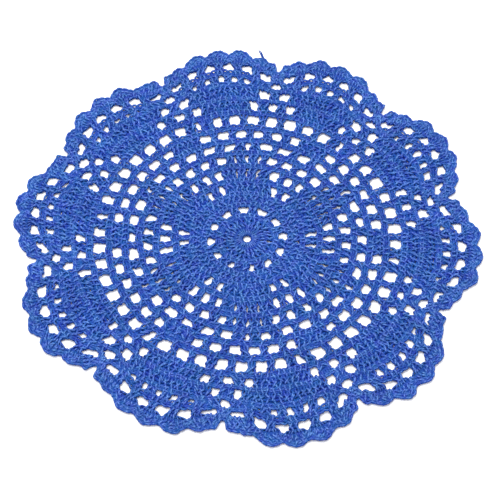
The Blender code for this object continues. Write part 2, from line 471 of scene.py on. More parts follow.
def sway(worked, radius, direction_deg):
    """How far the hand-worked edge of a round strays from its chart, in a direction."""
    total = 0.0
    for number, wave in enumerate(SWAYS):
        turns = round(2.0 * math.pi * radius / wave.length)
        phase = SWAY_BY_ROUND * worked + SWAY_BY_WAVE * number
        total += wave.reach * math.sin(math.radians(turns * direction_deg) + phase)
    return total


def edge_radius(worked, direction_deg):
    """Radius of the top edge of a round as worked, in a direction."""
    radius = chart_radius(worked, direction_deg)
    if worked in (0, 1, SHELL_ROUND, RIM_ROUND):
        return radius
    return radius + sway(worked, radius, direction_deg)


def chart_radius(worked, direction_deg):
    """Radius of the top edge of a round on the chart, in a direction."""
    if worked < len(CIRCLES):
        return CIRCLES[worked]
    index, place = petal_and_place(direction_deg)
    shift = (valley_line(index, place) - VALLEY_RADIUS) / 2
    if worked in PETAL_EDGES:
        edge = PETAL_EDGES[worked]
        rise = edge.rise + edge.follow * (PETALS[index].crown_radius - USUAL_CROWN)
        return edge.valley + shift + rise * (1.0 - abs(2 * place) ** edge.power)
    if worked == RIM_ROUND:
        return scalloped_radius(index, place) - RIM_INSET
    to_valley = (0.5 - abs(place)) / VALLEY_REACH
    if worked == NECK_ROUND:
        under_rim = rim_radius(index, place) - EYELET_BELOW_RIM
        lowest = EYELET_EDGE_LOWEST + shift + VALLEY_KNOT * math.exp(-to_valley ** 2)
        above = math.log1p(math.exp((under_rim - lowest) / MM / EYELET_BEND_MM))
        return lowest + above * EYELET_BEND_MM * MM
    deeper = min(max((abs(place) - INSET_FROM) / INSET_OVER, 0.0), to_valley, 1.0)
    return scalloped_radius(index, place) - SHELL_INSET - VALLEY_INSET * deeper


def edge_half_width(worked, direction_deg):
    """Half width of the top edge of a round, in a direction."""
    if worked in EDGE_HALF_WIDTHS:
        return EDGE_HALF_WIDTHS[worked] * MM
    width = PETAL_EDGE_WIDTHS[worked]
    place = petal_and_place(direction_deg)[1]
    share = min(max((width.change - abs(place)) / WIDTH_CHANGE_OVER, 0.0), 1.0)
    return width.valley + (width.crown - width.valley) * share


def mat_middle():
    """Middle of the mat's outline on the table, which the part's source centres it about."""
    xs, ys = [], []
    for index in range(len(PETALS)):
        for shell in SHELLS:
            for across, depth in zip(SHELL_ACROSS, SHELL_DEPTH):
                place = (shell + across) * SHELL_PITCH
                radius = max(rim_radius(index, place) - depth * SHELL_DIP,
                             valley_line(index, place) + FLANK_RISE)
                x, y = laid(radius, petal_direction(index, place))
                xs.append(x)
                ys.append(y)
    before = rim_radius(*petal_and_place(TAIL_DEG)) - SHELL_DIP * SHELL_DEPTH[2]
    tail_tip = laid(before + TAIL_LENGTH, TAIL_DEG + TAIL_LEAN_DEG)
    return (min(xs) + max(xs)) / 2, (min(ys) + max(ys + [tail_tip[1]])) / 2


# One opening of the chart, and the width that the yarn's bulge has taken from it
Opening = namedtuple("Opening", "radius direction width lean bulge", defaults=(0.0,))


def drawn_in(openings, worked):
    """The openings of a round as the yarn leaves them: it bulges in, and pulls them askew."""
    luck = random.Random(SEED + worked)
    usual = OPENING_SHARES.get(worked, USUAL_SHARE)
    spread = SHARE_SPREADS.get(worked, USUAL_SPREAD)
    pull = PULLS.get(worked, Pull(0.0, 0.0))
    drawn = []
    for opening in openings:
        towards = math.cos(math.radians(opening.direction - pull.toward_deg))
        share = usual * (1.0 + luck.uniform(-1, 1) * spread + pull.swing * towards)
        share = min(share, WIDEST_SHARE)
        drawn.append(opening._replace(width=opening.width * share,
                                      lean=opening.lean + luck.uniform(-1, 1) * PULL_SPREAD,
                                      bulge=opening.width * (1.0 - share)))
    return drawn


def uneven_opening(radius, direction_deg, width, luck):
    """One opening with the same unevenness as in the part's source.

    Chance is drawn in the part's order, so its draws for the height and the corners are made
    too, though nothing here needs them.
    """
    width *= 1.0 + luck.uniform(-1, 1) * SIZE_SPREAD
    luck.uniform(-1, 1)
    lean = luck.uniform(-1, 1) * LEAN_SPREAD
    radius += luck.uniform(-1, 1) * PLACE_SPREAD
    direction_deg += math.degrees(luck.uniform(-1, 1) * PLACE_SPREAD / radius)
    luck.choice((0.0, 0.5))
    return Opening(radius, direction_deg, width, lean)


def group_openings(row, luck):
    """The openings of a row of the middle rounds, group by group round the mat."""
    openings = []
    for group in range(row.groups):
        middle = row.middle_deg + group * 360.0 / row.groups
        for number in range(row.count):
            direction = middle + (number - (row.count - 1) / 2) * row.pitch_deg
            openings.append(uneven_opening(row.radius, direction, row.width, luck))
    return openings


def chart_openings():
    """The openings of each round, by the number of the round."""
    chart = {worked: [] for worked in range(1, RIM_ROUND + 1)}
    luck = random.Random(SEED)
    for row in MIDDLE_ROWS:
        chart[row.worked] += group_openings(row, luck)
    for index, petal in enumerate(PETALS):
        widths = petal_width(index - 1), petal_width(index)
        for row in VALLEY_ROWS:
            radius = row.radius + (petal.valley_radius - VALLEY_RADIUS) / 2
            for number in range(row.count):
                offset = (number - (row.count - 1) / 2) * row.pitch_deg
                direction = petal.valley_deg + offset * widths[offset > 0] / PETAL_DEG
                chart[row.worked].append(uneven_opening(radius, direction, row.width, luck))
    for row in SLIT_ROWS:
        chart[row.worked] += group_openings(row, luck)
    for index in range(len(PETALS)):
        for eyelet in EYELETS:
            direction = petal_direction(index, eyelet * EYELET_PITCH)
            radius = edge_radius(NECK_ROUND, direction) - EYELET_BELOW_EDGE
            chart[NECK_ROUND].append(uneven_opening(radius, direction, EYELET_WIDTH, luck))
    for openings in chart.values():
        openings.sort(key=lambda opening: opening.direction % 360.0)
    return chart


def opening_side(opening, radius, side):
    """Direction of an opening's side at a radius: side is 1 counterclockwise, -1 clockwise."""
    across = opening.lean * (radius - opening.radius) - side * opening.width / 2
    return opening.direction - math.degrees(across / radius)


# One post of a round: its two ends, the room that it has at each, its own chance, and how
# early it leans over to its top end (1 is evenly, less is sooner)
Post = namedtuple("Post", "base_radius base_deg top_radius top_deg base_room top_room luck splay",
                  defaults=(1.0,))


def columns(posts):
    """The values of some posts as one Post, with a column of numbers for each field."""
    return Post(*(np.array(column)[:, None] for column in zip(*posts)))


def posts_between(first, second, worked, pitch, rng):
    """Posts that fill the closed stretch from one opening to the next, side by side."""
    start, end = first.direction % 360.0, second.direction % 360.0
    if end <= start:
        end += 360.0
    middle = (start + end) / 2
    inner, outer = edge_radius(worked - 1, middle), edge_radius(worked, middle)
    ends = []
    for radius in (inner, outer):
        ends.append((start + opening_side(first, radius, 1) - first.direction,
                     end + opening_side(second, radius, -1) - second.direction))
    span = (ends[0][1] - ends[0][0] + ends[1][1] - ends[1][0]) / 2
    length = math.radians(span) * (inner + outer) / 2
    bulge = (first.bulge + second.bulge) / 2
    count = max(1, round((length - bulge) / pitch))
    room = length / count
    posts = []
    for number in range(count):
        share = (number + 0.5) / count
        low, high = (start + (end - start) * share for start, end in ends)
        if count > 2:
            low += math.degrees(rng.normal(0.0, LOW_CHANCE) / inner)
            high += math.degrees(rng.normal(0.0, HIGH_CHANCE) / outer)
        posts.append(Post(edge_radius(worked - 1, low), low, edge_radius(worked, high), high,
                          room, room, rng.random()))
    return posts


def round_of_posts(worked, openings, settings, rng):
    """The stretches of posts between the openings of a round."""
    stretches = []
    openings = drawn_in(openings, worked)
    for number, first in enumerate(openings):
        second = openings[(number + 1) % len(openings)]
        stretches.append(posts_between(first, second, worked, settings.post_pitch, rng))
    return stretches


def closed_round(worked, rng):
    """A round with no openings: posts at even steps."""
    posts = []
    step = 360.0 / CLOSED_POSTS[worked]
    outer = edge_radius(worked, 0.0)
    for number in range(CLOSED_POSTS[worked]):
        low = (number + rng.normal(0.0, CLOSED_CHANCE)) * step
        high = low + rng.normal(0.0, CLOSED_CHANCE) * step
        inner = edge_radius(worked - 1, low)
        posts.append(Post(inner, low, edge_radius(worked, high), high,
                          math.radians(step) * inner, math.radians(step) * outer, rng.random()))
    return [posts]


def shell_foot(index, shell):
    """Radius and direction of the stitch that a shell of the rim is fanned from."""
    place = shell * ARCH_PITCH
    height = SHELL_HEIGHT + abs(shell) * SHELL_GROWTH
    return rim_radius(index, place) - height, petal_direction(index, place)


def neck_posts(rng):
    """Pairs of posts that carry the shells, with the rim's arch openings between them."""
    necks = []
    for index in range(len(PETALS)):
        for shell in SHELLS:
            top, direction = shell_foot(index, shell)
            pair = []
            for offset in NECK_OFFSETS:
                turned = direction + math.degrees(offset / top)
                pair.append(Post(edge_radius(NECK_ROUND, turned), turned, top, turned,
                                 NECK_ROOM, NECK_ROOM, rng.random()))
            necks.append(pair)
    return necks


def shell_posts(rng):
    """The shells of the rim: five to a petal, each fanned from one foot."""
    shells = []
    for index in range(len(PETALS)):
        for shell in SHELLS:
            fan = []
            foot, foot_deg = shell_foot(index, shell)
            for across in SHELL_FAN:
                high = petal_direction(index, (shell + across) * SHELL_PITCH)
                top = edge_radius(SHELL_ROUND, high)
                across_foot = across * FOOT_WIDTH + rng.normal(0.0, SHELL_CHANCE)
                low = foot_deg + math.degrees(across_foot / foot)
                high += math.degrees(rng.normal(0.0, SHELL_CHANCE) / top)
                room = SHELL_PITCH * math.radians(petal_width(index)) * top * SHELL_STEP
                fan.append(Post(foot, low, top, high, FOOT_ROOM, room, rng.random(), SHELL_SPLAY))
            shells.append(fan)
    return shells


def edging_posts(settings, rng):
    """The last round: short stitches from the tops of the shells to the rim, and in the valleys."""
    stretches = []
    for index in range(len(PETALS)):
        posts = []
        crown = edge_radius(RIM_ROUND, petal_direction(index, 0.0))
        span = math.radians(petal_width(index)) * crown
        count = round(EDGING_CROWDING * span / settings.post_pitch)
        for number in range(count):
            place = (number + 0.5 + rng.normal(0.0, EDGING_CHANCE)) / count - 0.5
            low = petal_direction(index, place)
            high = low + rng.normal(0.0, EDGING_LEAN_DEG)
            posts.append(Post(edge_radius(SHELL_ROUND, low), low, edge_radius(RIM_ROUND, high), high,
                              settings.post_pitch, settings.post_pitch, rng.random()))
        stretches.append(posts)
        for place in VALLEY_PLACES:
            direction = petal_direction(index, place)
            stretches.append([Post(edge_radius(NECK_ROUND, direction), direction,
                                   edge_radius(SHELL_ROUND, direction), direction,
                                   VALLEY_ROOM, VALLEY_ROOM, rng.random())])
    return stretches


def posts_of_round(worked, openings, settings, rng):
    """The posts of a round, in stretches that stand side by side."""
    if worked in CLOSED_POSTS:
        return closed_round(worked, rng)
    if worked == SHELL_ROUND:
        return shell_posts(rng)
    if worked == RIM_ROUND:
        return edging_posts(settings, rng)
    stretches = round_of_posts(worked, openings, settings, rng)
    if worked == NECK_ROUND:
        stretches += neck_posts(rng)
    return stretches


def round_the_mat(direction_deg):
    """Unit vectors round the mat, clockwise, in directions of the chart."""
    angle = np.radians(direction_deg)
    return np.stack([np.sin(angle), -np.cos(angle), np.zeros_like(angle)], axis=-1)


def out_of_the_mat(direction_deg):
    """Unit vectors out from the middle of the mat, in directions of the chart."""
    angle = np.radians(direction_deg)
    return np.stack([np.cos(angle), np.sin(angle), np.zeros_like(angle)], axis=-1)


class Skein:
    """Yarn worked so far: its points, its faces and the lie of its plies."""

    def __init__(self, settings):
        self.settings = settings
        self.half = settings.thickness / 2
        self.middle = mat_middle()
        self.points = []
        self.faces = []
        self.lay = []
        self.count = 0

    def spin(self, paths, half, reference, closed=False):
        """Lays one yarn along each path.

        paths is yarns x points x 3, half the half thickness, one for all or one for each
        point, and reference a vector that the first corner of each yarn points along.
        """
        yarns, steps = paths.shape[:2]
        if closed:
            ahead = np.roll(paths, -1, axis=1) - np.roll(paths, 1, axis=1)
        else:
            ahead = np.gradient(paths, axis=1)
        ahead /= np.linalg.norm(ahead, axis=2, keepdims=True)
        side = np.empty_like(paths)
        current = reference
        for step in range(steps):
            along = (current * ahead[:, step]).sum(axis=1, keepdims=True)
            current = current - ahead[:, step] * along
            current = current / np.linalg.norm(current, axis=1, keepdims=True)
            side[:, step] = current
        other = np.cross(ahead, side)
        turn = 2.0 * np.pi * np.arange(YARN_SIDES) / YARN_SIDES
        out = np.cos(turn)[:, None] * side[:, :, None] + np.sin(turn)[:, None] * other[:, :, None]
        half = np.broadcast_to(half, paths.shape[:2])
        ring = paths[:, :, None] + out * half[:, :, None, None]
        first = self.count + np.arange(yarns)[:, None, None] * steps * YARN_SIDES
        step = np.arange(steps if closed else steps - 1)[None, :, None]
        here, there = first + step * YARN_SIDES, first + (step + 1) % steps * YARN_SIDES
        corner = np.arange(YARN_SIDES)[None, None, :]
        beside = (corner + 1) % YARN_SIDES
        quads = np.stack([here + corner, here + beside, there + beside, there + corner], axis=-1)
        length = np.linalg.norm(np.roll(paths, -1, axis=1) - paths, axis=2)
        if not closed:
            length = length[:, :-1]
        start = np.cumsum(length, axis=1) - length
        phase = np.modf(first[:, 0] * LAY_STEP)[0]
        low = (start / self.settings.ply_length + phase)[:, :, None]
        high = ((start + length) / self.settings.ply_length + phase)[:, :, None]
        around, past = corner / YARN_SIDES, (corner + 1) / YARN_SIDES
        lay = np.stack([np.stack(np.broadcast_arrays(*pair), axis=-1) for pair in (
            (low, around), (low, past), (high, past), (high, around))], axis=-2)
        self.points.append(ring.reshape(-1, 3))
        self.faces.append(quads.reshape(-1, 4))
        self.lay.append(lay.reshape(-1, 2))
        if not closed:
            last = first[:, 0, 0] + (steps - 1) * YARN_SIDES
            for base, faces in ((first[:, 0, 0], START_FACES), (last, END_FACES)):
                for corners in faces:
                    self.faces.append(base[:, None] + np.array(corners))
                    self.lay.append(np.zeros((yarns * 4, 2)))
        self.count += yarns * steps * YARN_SIDES

    def place(self, radius, direction_deg, height):
        """Points on the table for points of the chart."""
        x, y, z = np.broadcast_arrays(*laid(radius, direction_deg), height)
        return np.stack([x - self.middle[0], y - self.middle[1], z], axis=-1)

    def reach(self, room):
        """How far the legs of a post part, in the room that it has."""
        return np.clip(room / 2 - self.half * LEG_CLEARANCE, LEG_LEAST * self.half,
                       LEG_MOST * self.half)

    def work_posts(self, posts):
        """Works every post: two legs twisted round each other and a wrap round both."""
        post = columns(posts)
        half, luck, drift = self.half, post.luck, post.top_deg - post.base_deg
        low, high = post.base_radius - FOOT_DEPTH * half, post.top_radius + HEAD_REACH * half
        tall = high - low
        rise, swing, side = (column[None, :] for column in np.array(POST_LEG).T)
        room = post.base_room + (post.top_room - post.base_room) * rise
        lone = post.base_room > LONE_ROOM
        turns = np.where(lone, LONE_TURNS, np.where(tall > LONG_POST, LONG_TURNS, SHORT_TURNS))
        # A multiple of a post's chance, without its whole part, is a further chance
        hand = np.where(luck * 7 % 1 > 0.5, 1.0, -1.0)
        turns = turns * (TURNS_LUCK[0] + TURNS_LUCK[1] * luck) * hand
        twist = np.clip(rise - TWIST_START, 0.0, 1.0) / (TWIST_END - TWIST_START)
        angle = 2 * np.pi * (np.where(lone, LONE_START * np.sign(turns), 0.0) + turns * twist)
        narrow = 1.0 - WRAP_PINCH * np.exp(-((rise - WRAP_RISE) / WRAP_PINCH_OVER) ** 2)
        radius = low + tall * rise
        legs = []
        for flip in (1.0, -1.0):
            across = flip * np.sin(angle) * side * narrow * self.reach(room)
            height = flip * np.cos(angle) * swing * half * LEG_SWING
            direction = post.base_deg + drift * rise ** post.splay - np.degrees(across / radius)
            legs.append(self.place(radius, direction, height))
        path = np.concatenate([legs[1][:, ::-1], legs[0][:, 1:]], axis=1)
        thin = half * np.clip(room / THICK_ROOM, THINNEST, 1.0) * (LEG_LUCK[0] + LEG_LUCK[1] * luck)
        thin = np.concatenate([thin[:, ::-1], thin[:, 1:]], axis=1)
        self.spin(path, thin, round_the_mat(post.base_deg[:, 0]))
        alone = lone[:, 0]
        if alone.any():
            core = np.array(LONE_CORE)[None, :]
            direction = (post.base_deg + drift * core)[alone]
            path = self.place((low + tall * core)[alone], direction, CORE_HEIGHT * half)
            self.spin(path, CORE_HALF * half, round_the_mat(direction[:, 0]))
        tied = tall[:, 0] > WRAPPED_FROM
        if tied.any():
            self.wrap(Post(*(column[tied] for column in post)), low[tied], tall[tied])

    def wrap(self, post, low, tall):
        """The yarn over that slants round the middle of each tall post."""
        half, luck = self.half, post.luck
        turn = 2.0 * np.pi * np.arange(WRAP_POINTS)[None, :] / WRAP_POINTS
        reach = self.reach((post.base_room + post.top_room) / 2)
        across = (WRAP_SHARE * reach + WRAP_CLEARANCE * half) * np.cos(turn)
        hand = np.where(luck * 3 % 1 > 0.3, 1.0, -1.0)
        slant = hand * (SLANT_LUCK[0] + SLANT_LUCK[1] * (luck * 5 % 1))
        radius = low + tall * (WRAP_RISE - WRAP_STRAY + 2 * WRAP_STRAY * luck)
        radius = radius + slant * half * np.cos(turn)
        share = ((radius - low) / tall) ** post.splay
        direction = post.base_deg + (post.top_deg - post.base_deg) * share
        path = self.place(radius, direction - np.degrees(across / radius),
                          WRAP_SWING * half * np.sin(turn))
        self.spin(path, WRAP_HALF * half, out_of_the_mat(post.base_deg[:, 0]), closed=True)

    def back(self, stretches):
        """Lays strands behind each closed stretch, so that little shows between its posts."""
        for posts in stretches:
            if len(posts) < 2:
                continue
            post = Post(*(column.T for column in columns(posts)))
            rise = np.array(BACK_RISES)[:, None]
            radius = post.base_radius + (post.top_radius - post.base_radius) * rise
            radius = radius + BACK_STRAY * (post.luck - 0.5) * self.half
            direction = post.base_deg + (post.top_deg - post.base_deg) * rise ** post.splay
            path = self.place(radius, direction, BACK_HEIGHT * self.half)
            self.spin(path, BACK_HALF * self.half, UP)

    def work_edge(self, worked, rng):
        """Works the chain of loops along the top edge of a round, and a core under it."""
        half = self.half
        directions = np.linspace(0.0, 360.0, EDGE_STEPS + 1)
        radii = np.array([edge_radius(worked, direction) for direction in directions[:-1]])
        radii = np.append(radii, radii[0])
        x, y = laid(radii, directions)
        along = np.append(0.0, np.cumsum(np.hypot(np.diff(x), np.diff(y))))
        count = round(along[-1] / self.settings.chain_pitch)
        pitch = along[-1] / count
        loop = np.array(CHAIN_LOOP)
        loop = np.concatenate([loop, loop[-2::-1] * (1.0, -1.0, 1.0)])
        starts = (np.arange(count) + rng.normal(0.0, CHAIN_CHANCE, count)) * pitch
        at = (starts[:, None] + loop[None, :, 0] * pitch) % along[-1]
        radius = np.interp(at, along, radii)
        direction = np.interp(at, along, directions)
        padded = np.concatenate([radii[-EDGE_BLUR:-1], radii, radii[1:EDGE_BLUR]])
        smooth = np.convolve(padded, np.ones(EDGE_BLUR) / EDGE_BLUR, "same")
        slope = np.gradient(smooth[EDGE_BLUR - 1:1 - EDGE_BLUR], np.radians(directions[1]))
        tilt = np.arctan2(np.interp(at, along, slope), radius)
        width = np.array([edge_half_width(worked, deg) for deg in direction[:, 0]])[:, None]
        uneven = RIM_CHAIN_UNEVEN if worked == RIM_ROUND else CHAIN_UNEVEN
        width = width * self.settings.chain_fullness * (1.0 + rng.normal(0.0, uneven, (count, 1)))
        across = loop[None, :, 1] * width
        height = loop[None, :, 2] * half + rng.normal(0.0, CHAIN_LIFT, (count, 1)) * half
        radius = radius + across * np.cos(tilt)
        direction = direction - np.degrees(across * np.sin(tilt) / radius)
        path = self.place(radius, direction, height - CHAIN_SINK * half)
        self.spin(path, CHAIN_HALF * half, UP)
        at = np.arange(count) * pitch
        core = self.place(np.interp(at, along, radii), np.interp(at, along, directions),
                          CHAIN_CORE_HEIGHT * half)
        self.spin(core[None], CHAIN_CORE_HALF * half, UP, closed=True)

    def leave_tail(self):
        """The fastened end of the yarn: its plies untwist and thin out to uneven points."""
        plies, half = self.settings.plies, self.half
        start = rim_radius(*petal_and_place(TAIL_DEG)) - TAIL_ROOT
        share = np.linspace(0.0, 1.0, TAIL_POINTS)[None, :]
        ply = np.arange(plies)[:, None]
        turn = 2.0 * np.pi * (ply / plies + TAIL_TURNS * share)
        spread = half * (TAIL_SPREAD[0] - TAIL_SPREAD[1] * share)
        radius = start + (TAIL_ROOT + TAIL_REACH) * share * (1.0 - TAIL_SHORTER * ply)
        direction = TAIL_DEG + TAIL_CURL_DEG * share ** 2
        direction = direction - np.degrees(spread * np.cos(turn) / radius)
        path = self.place(radius, direction, spread * np.sin(turn))
        thin = TAIL_HALF * half * (1.0 - TAIL_THINNING[0] * share ** TAIL_THINNING[1])
        self.spin(path, thin, round_the_mat(TAIL_DEG))

    def mesh(self, name):
        """The worked yarn as one smooth mesh, pressed flat on the table."""
        points = np.concatenate(self.points)
        # How high each point stands from the middle of the yarn's thickness: the material paints
        # shade where this is low, deep between the stitches
        rise = np.clip(np.abs(points[:, 2]) / (FULL_RISE * self.half), 0.0, 1.0)
        points[:, 2] *= self.settings.flattening
        points[:, 2] -= points[:, 2].min()
        faces = np.concatenate(self.faces)
        data = bpy.data.meshes.new(name)
        data.vertices.add(len(points))
        data.vertices.foreach_set("co", points.astype(np.float32).ravel())
        data.loops.add(faces.size)
        data.loops.foreach_set("vertex_index", faces.astype(np.int32).ravel())
        data.polygons.add(len(faces))
        data.polygons.foreach_set("loop_start", np.arange(0, faces.size, 4, dtype=np.int32))
        data.update(calc_edges=True)
        data.polygons.foreach_set("use_smooth", np.ones(len(faces), dtype=bool))
        rising = data.attributes.new("rise", "FLOAT", "POINT")
        rising.data.foreach_set("value", rise.astype(np.float32))
        lay = data.uv_layers.new(name="lay")
        lay.uv.foreach_set("vector", np.concatenate(self.lay).astype(np.float32).ravel())
        return data


def feed(tree, node, inputs):
    """Gives a node's inputs, by name or place, a value or the output of another node."""
    for place, source in inputs:
        if isinstance(source, bpy.types.NodeSocket):
            tree.links.new(source, node.inputs[place])
        else:
            node.inputs[place].default_value = source


def add_node(tree, kind, inputs=(), **features):
    """Adds a node with its features set and its inputs fed."""
    node = tree.nodes.new(kind)
    for feature, value in features.items():
        setattr(node, feature, value)
    feed(tree, node, inputs)
    return node


def maths(tree, operation, *sources):
    """Output of a maths node, from values or outputs."""
    node = add_node(tree, "ShaderNodeMath", enumerate(sources), operation=operation)
    return node.outputs["Value"]


def noise(tree, place, scale, detail):
    """Output of a noise at a scale."""
    inputs = (("Vector", place), ("Scale", scale), ("Detail", detail))
    return add_node(tree, "ShaderNodeTexNoise", inputs).outputs["Fac"]


def remap(tree, value, from_low, from_high, to_low, to_high):
    """Output that carries a value over from one range to another."""
    inputs = (("Value", value), ("From Min", from_low), ("From Max", from_high),
              ("To Min", to_low), ("To Max", to_high))
    return add_node(tree, "ShaderNodeMapRange", inputs).outputs["Result"]


def plied_yarn_group():
    """Turns the lie of the yarn into ply crowns, fine fibres and slow drifts of the dye, with painted
    shade and a painted highlight on the plies.
    """
    tree = bpy.data.node_groups.get("plied_yarn")
    if tree:
        return tree
    tree = bpy.data.node_groups.new("plied_yarn", "ShaderNodeTree")
    for side, name, kind in (
            ("INPUT", "Plies", "Float"), ("INPUT", "Crown Colour", "Color"),
            ("INPUT", "Painted Shade Colour", "Color"), ("INPUT", "Base Roughness", "Float"),
            ("OUTPUT", "Colour", "Color"), ("OUTPUT", "Roughness", "Float"),
            ("OUTPUT", "Height", "Float")):
        tree.interface.new_socket(name=name, in_out=side, socket_type="NodeSocket" + kind)
    given = tree.nodes.new("NodeGroupInput").outputs

    # The plies wind round the yarn: crown is 1 along their middles and 0 between them
    lay = add_node(tree, "ShaderNodeUVMap", uv_map="lay").outputs["UV"]
    lay = add_node(tree, "ShaderNodeSeparateXYZ", [("Vector", lay)]).outputs
    turn = maths(tree, "ADD", lay["X"], lay["Y"])
    angle = maths(tree, "MULTIPLY", maths(tree, "MULTIPLY", turn, given["Plies"]), math.pi)
    crown = maths(tree, "ABSOLUTE", maths(tree, "SINE", angle))

    # From fine fibres and flecks to slow changes of the dye's strength and of its cast
    place = add_node(tree, "ShaderNodeTexCoord").outputs["Object"]
    fibre = noise(tree, place, 2600.0, 3.0)
    fleck = noise(tree, place, 520.0, 2.0)
    drift = noise(tree, place, 70.0, 1.0)
    cast = noise(tree, place, 210.0, 1.0)

    # Painted shade: darker between the plies, low down between the stitches and on the yarn's flanks,
    # where less light would fall
    rise = add_node(tree, "ShaderNodeAttribute", attribute_name="rise").outputs["Fac"]
    normal = add_node(tree, "ShaderNodeNewGeometry").outputs["Normal"]
    upright = add_node(tree, "ShaderNodeSeparateXYZ", [("Vector", normal)]).outputs["Z"]
    flank = remap(tree, maths(tree, "ABSOLUTE", upright), 0.35, 0.98, 0.1, 1.0)
    flank_and_low_shade = maths(tree, "MULTIPLY", flank, remap(tree, rise, 0.15, 0.95, 0.15, 1.0))
    shade = maths(tree, "MULTIPLY", remap(tree, crown, 0.0, 0.85, 0.35, 1.0), flank_and_low_shade)
    speckled = maths(tree, "MULTIPLY", shade, remap(tree, fleck, 0.34, 0.66, 0.30, 1.15))
    # Random flecks deepen or lift the painted shade, and the power keeps the paler crown colour to
    # the tops of the plies as a painted highlight
    dyed = add_node(tree, "ShaderNodeMix", (
        ("Factor", maths(tree, "POWER", speckled, 1.27)),
        ("A", given["Painted Shade Colour"]), ("B", given["Crown Colour"])), data_type="RGBA")
    tone = add_node(tree, "ShaderNodeHueSaturation", (
        ("Color", dyed.outputs["Result"]),
        ("Value", remap(tree, drift, 0.3, 0.7, 0.90, 1.10)),
        ("Hue", remap(tree, cast, 0.3, 0.7, 0.490, 0.510))))

    worn = maths(tree, "MULTIPLY_ADD", fibre, 0.16, -0.08)
    add_node(tree, "NodeGroupOutput", (
        ("Colour", tone.outputs["Color"]),
        ("Roughness", maths(tree, "ADD", worn, given["Base Roughness"])),
        ("Height", maths(tree, "MULTIPLY_ADD", fibre, 0.35, crown))))
    return tree


def yarn_material(settings):
    """Soft blue cotton: plied, matte, with a faint bloom of stray fibres."""
    material = bpy.data.materials.get("cotton_yarn_worked")
    if material:
        return material
    material = bpy.data.materials.new("cotton_yarn_worked")
    material.use_nodes = True
    tree = material.node_tree
    yarn = add_node(tree, "ShaderNodeGroup", (
        ("Plies", settings.plies), ("Crown Colour", (*settings.colour, 1.0)),
        ("Painted Shade Colour", (*settings.painted_shade_colour, 1.0)),
        ("Base Roughness", settings.roughness)), node_tree=plied_yarn_group()).outputs
    bump = add_node(tree, "ShaderNodeBump", (
        ("Distance", 0.35 * MM), ("Strength", 0.8), ("Height", yarn["Height"])))
    feed(tree, tree.nodes["Principled BSDF"], (
        ("Base Color", yarn["Colour"]), ("Roughness", yarn["Roughness"]),
        ("Normal", bump.outputs["Normal"]), ("Specular IOR Level", 0.15),
        ("Sheen Weight", 0.03), ("Sheen Roughness", 0.45),
        ("Sheen Tint", (0.55, 0.68, 1.0, 1.0))))
    return material


def floor_material(colour):
    """Plain pale floor, with the faintest unevenness of tone."""
    material = bpy.data.materials.new("pale_floor")
    material.use_nodes = True
    tree = material.node_tree
    place = add_node(tree, "ShaderNodeTexCoord").outputs["Object"]
    grain = add_node(tree, "ShaderNodeTexNoise", (("Scale", 3.0), ("Vector", place)))
    tone = add_node(tree, "ShaderNodeMix", (
        ("A", (*colour, 1.0)), ("B", (*(0.99 * part for part in colour), 1.0)),
        ("Factor", grain.outputs["Fac"])), data_type="RGBA")
    feed(tree, tree.nodes["Principled BSDF"], (
        ("Base Color", tone.outputs["Result"]), ("Roughness", 0.9), ("Specular IOR Level", 0.1)))
    return material


def add_piece(name, skein):
    """Puts a worked piece on the table, in place of the part's solid."""
    piece = bpy.data.objects.new(name, skein.mesh(name))
    bpy.context.scene.collection.objects.link(piece)
    piece.data.materials.append(yarn_material(skein.settings))
    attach(piece, BODY)
    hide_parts(NODE)


def work_rounds(name, rounds, settings):
    """Works the posts and top edges of some rounds into one piece."""
    chart = chart_openings()
    skein = Skein(settings)
    for worked in rounds:
        rng = np.random.default_rng([SEED, worked])
        stretches = posts_of_round(worked, chart[worked], settings, rng)
        if worked == 1:
            skein.work_edge(0, rng)
        skein.work_posts([post for posts in stretches for post in posts])
        skein.back(stretches)
        skein.work_edge(worked, rng)
    add_piece(name, skein)


class PLACEMAT_OT_disc(Operator):
    """Work the closed middle: the ring, the disc, the eyelet round and the short round"""

    bl_idname = "placemat.disc"
    bl_label = "Work Middle Disc"

    def execute(self, context):
        work_rounds("middle_disc", (1, 2, 3), context.scene.placemat_yarn)
        return {"FINISHED"}


class PLACEMAT_OT_fans(Operator):
    """Work the rounds in which six fans narrow and six stretches of mesh begin"""

    bl_idname = "placemat.fans"
    bl_label = "Work Six Fans"

    def execute(self, context):
        work_rounds("six_fans", (4, 5), context.scene.placemat_yarn)
        return {"FINISHED"}


class PLACEMAT_OT_mesh(Operator):
    """Work the open mesh round the fans"""

    bl_idname = "placemat.mesh"
    bl_label = "Work Open Mesh"

    def execute(self, context):
        work_rounds("open_mesh", (6, 7, 8, 9), context.scene.placemat_yarn)
        return {"FINISHED"}


class PLACEMAT_OT_petals(Operator):
    """Work the closed wedges of the ten petals and the openings that narrow between them"""

    bl_idname = "placemat.petals"
    bl_label = "Work Petal Wedges"

    def execute(self, context):
        work_rounds("petal_wedges", (10, 11), context.scene.placemat_yarn)
        return {"FINISHED"}


class PLACEMAT_OT_eyelets(Operator):
    """Work the fan of eyelets over each petal, and the necks that carry the shells"""

    bl_idname = "placemat.eyelets"
    bl_label = "Work Petal Eyelets"

    def execute(self, context):
        work_rounds("petal_eyelets", (12,), context.scene.placemat_yarn)
        return {"FINISHED"}


class PLACEMAT_OT_rim(Operator):
    """Work the shells of the rim, five to a petal"""

    bl_idname = "placemat.rim"
    bl_label = "Work Rim Shells"

    def execute(self, context):
        work_rounds("rim_shells", (13,), context.scene.placemat_yarn)
        return {"FINISHED"}


class PLACEMAT_OT_edging(Operator):
    """Work the last round of short stitches along the rim"""

    bl_idname = "placemat.edging"
    bl_label = "Work Rim Edging"

    def execute(self, context):
        work_rounds("rim_edging", (14,), context.scene.placemat_yarn)
        return {"FINISHED"}


